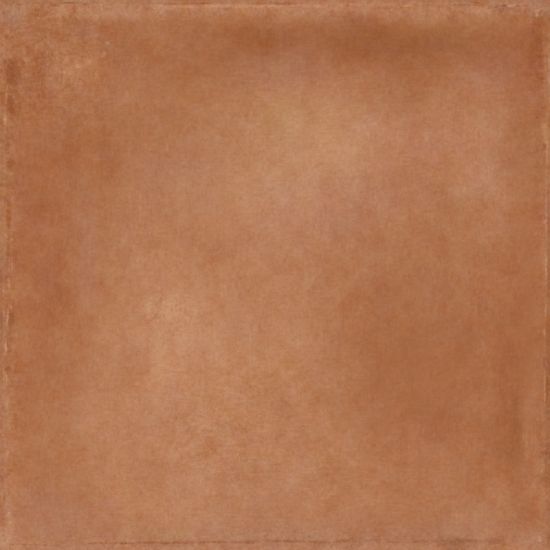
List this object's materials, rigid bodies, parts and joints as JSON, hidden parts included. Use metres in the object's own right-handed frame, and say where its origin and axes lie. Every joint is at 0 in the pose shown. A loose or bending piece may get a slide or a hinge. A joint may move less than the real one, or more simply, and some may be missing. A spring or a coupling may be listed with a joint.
{
  "type": "square terracotta tile",
  "caption": "Square terracotta floor tile: one fired clay slab with a flat face, eased worn edges, upright joint sides and a shallow keyed grid on its back for bedding.",
  "frame": {"origin": "middle of the bearing plane of the back ribs, straight under the centre of the face", "axes": "+Z the way the face looks, up when the tile lies on its back; X and Y along its sides, with +Y up in the picture"},
  "size_m": [0.3, 0.3, 0.01],
  "materials": {
    "terracotta": "matte"
  },
  "bodies": {
    "root": {"square_tile": "terracotta"}
  },
  "joints": []
}
